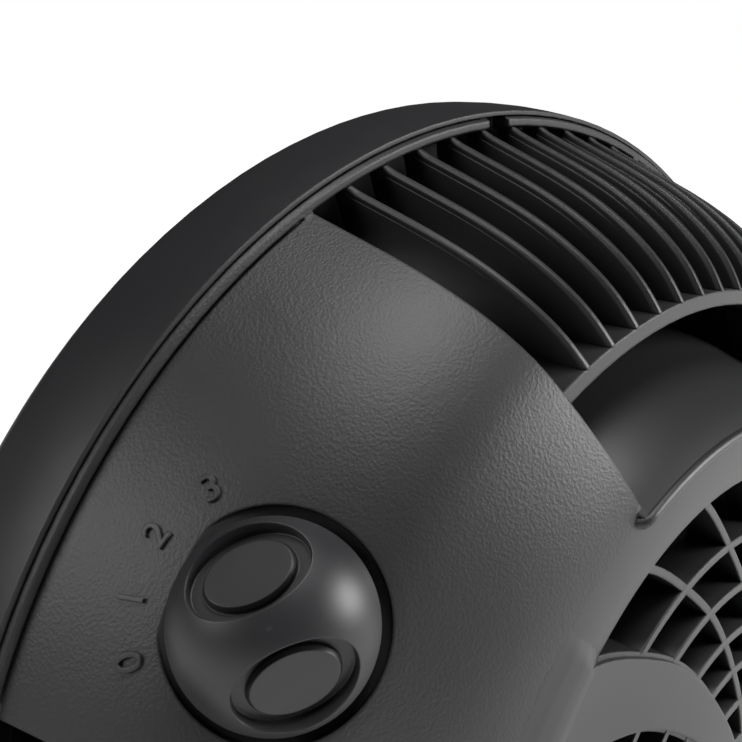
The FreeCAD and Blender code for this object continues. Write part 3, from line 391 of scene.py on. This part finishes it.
def makeDigit(look, text, radiusShare, angle):
    spot, outward = surfaceAt(radiusShare * rimRadius, angle)
    upward = spot - atClock(look["knobRadius"] * rimRadius, look["knobAngle"],
                            headCentre.y + look["knobHeight"] * rimRadius)
    upward = (upward - outward * upward.dot(outward)).normalized()
    curve = bpy.data.curves.new("digitCurve" + text, "FONT")
    curve.body = text
    curve.size = look["height"] / look["heightOfFont"]
    curve.align_x = "CENTER"
    curve.align_y = "CENTER"
    curve.extrude = look["rise"]
    curve.bevel_depth = look["edge"]
    curve.resolution_u = look["roundSteps"]
    mesh = meshOf(curve)
    place = Matrix((upward.cross(outward), upward, outward)).transposed().to_4x4()
    mesh.transform(Matrix.Translation(spot) @ place)
    return bpy.data.objects.new("digit" + text, mesh)


for text, (radiusShare, angle) in dialLook["places"].items():
    addToHead(makeDigit(dialLook, text, radiusShare, angle), knobPlastic)
print("digits made")

# Floor and soft studio light
floorLook = {"size": 8.0, "colour": "#f4f4f2", "roughness": 0.9, "nearLift": 0.40, "farLift": 0.99,
             "near": 0.3, "far": 1.5}


# White painted studio floor: matt, lifted to white far off where it is seen, its shadow kept near the fan
def studioFloor(look):
    mat, tree, shader, coords = startMaterial("painted studio floor", look["colour"], look["roughness"])
    path = addNode(tree, "ShaderNodeLightPath")
    sharp = addNode(tree, "ShaderNodeMath", {"operation": "MAXIMUM"}, None,
                    {0: path.outputs["Is Glossy Ray"], 1: path.outputs["Is Transmission Ray"]})
    seen = addNode(tree, "ShaderNodeMath", {"operation": "MAXIMUM"}, None,
                   {0: path.outputs["Is Camera Ray"], 1: sharp.outputs[0]})
    distance = addNode(tree, "ShaderNodeVectorMath", {"operation": "LENGTH"}, None, {0: coords})
    amount = addNode(tree, "ShaderNodeMapRange", None,
                     {"From Min": look["near"], "From Max": look["far"], "To Min": look["nearLift"],
                      "To Max": look["farLift"]}, {"Value": distance.outputs["Value"]})
    lift = addNode(tree, "ShaderNodeMath", {"operation": "MULTIPLY"}, None,
                   {0: amount.outputs["Result"], 1: seen.outputs[0]})
    glow = addNode(tree, "ShaderNodeEmission", None, {"Color": tone(white)}, {"Strength": lift.outputs[0]})
    both = addNode(tree, "ShaderNodeAddShader", None, None, {0: shader.outputs[0], 1: glow.outputs[0]})
    tree.links.new(both.outputs[0], tree.nodes["Material Output"].inputs["Surface"])
    return mat


floorMesh = bpy.data.meshes.new("floor")
floorForm = bmesh.new()
bmesh.ops.create_grid(floorForm, x_segments=1, y_segments=1, size=floorLook["size"] / 2)
floorForm.to_mesh(floorMesh)
floorForm.free()
floor = bpy.data.objects.new("floor", floorMesh)
bpy.context.scene.collection.objects.link(floor)
floor.data.materials.append(studioFloor(floorLook))

lampAim = Vector((0.02, 0.03, 0.22))
lamps = {"keyLight": {"place": (-0.80, 0.95, 0.64), "size": 0.60, "power": 17},
         "topLight": {"place": (0.0, 0.20, 1.35), "size": 0.70, "power": 10},
         "fillLight": {"place": (1.05, -0.30, 0.85), "size": 0.70, "power": 6}}


# One round soft lamp that looks at the fan
def softLight(name, look):
    data = bpy.data.lights.new(name, "AREA")
    data.shape = "DISK"
    data.size = look["size"]
    data.energy = look["power"]
    lamp = bpy.data.objects.new(name, data)
    lamp.location = look["place"]
    lamp.rotation_mode = "QUATERNION"
    lamp.rotation_quaternion = (lampAim - Vector(look["place"])).to_track_quat("-Z", "Y")
    bpy.context.scene.collection.objects.link(lamp)


for name, look in lamps.items():
    softLight(name, look)

# A dim even room light, with a white backdrop where the camera looks past the floor
worldLook = {"roomStrength": 0.03, "backdropStrength": 1.0}
world = bpy.data.worlds.new("studio")
world.use_nodes = True
bpy.context.scene.world = world
skyTree = world.node_tree
room = skyTree.nodes["Background"]
room.inputs["Color"].default_value = tone(white)
room.inputs["Strength"].default_value = worldLook["roomStrength"]
backdrop = addNode(skyTree, "ShaderNodeBackground", None,
                   {"Color": tone(white), "Strength": worldLook["backdropStrength"]})
skyPath = addNode(skyTree, "ShaderNodeLightPath")
blend = addNode(skyTree, "ShaderNodeMixShader", None, None,
                {0: skyPath.outputs["Is Camera Ray"], 1: room.outputs[0], 2: backdrop.outputs[0]})
skyTree.links.new(blend.outputs[0], skyTree.nodes["World Output"].inputs["Surface"])
print("stage set")

# Camera of the photograph, found by fitting the rim, arches and fins to the picture
view = {"place": (0.153222, 0.134547, 0.293090), "right": (-0.71294, 0.70071, -0.02675),
        "up": (-0.22683, -0.19436, 0.95434), "lens": 50.39, "sensor": 36.0, "shiftX": 0.0078,
        "shiftY": -0.0016, "clipStart": 0.005}
cameraData = bpy.data.cameras.new("photoCamera")
cameraData.lens = view["lens"]
cameraData.sensor_width = view["sensor"]
cameraData.shift_x = view["shiftX"]
cameraData.shift_y = view["shiftY"]
cameraData.clip_start = view["clipStart"]
camera = bpy.data.objects.new("photoCamera", cameraData)
right = Vector(view["right"]).normalized()
up = (Vector(view["up"]) - right * right.dot(Vector(view["up"]))).normalized()
turned = Matrix((right, up, right.cross(up))).transposed().to_4x4()
camera.matrix_world = Matrix.Translation(view["place"]) @ turned
bpy.context.scene.collection.objects.link(camera)
bpy.context.scene.camera = camera
bpy.context.scene.view_settings.view_transform = "Standard"
print("camera set")
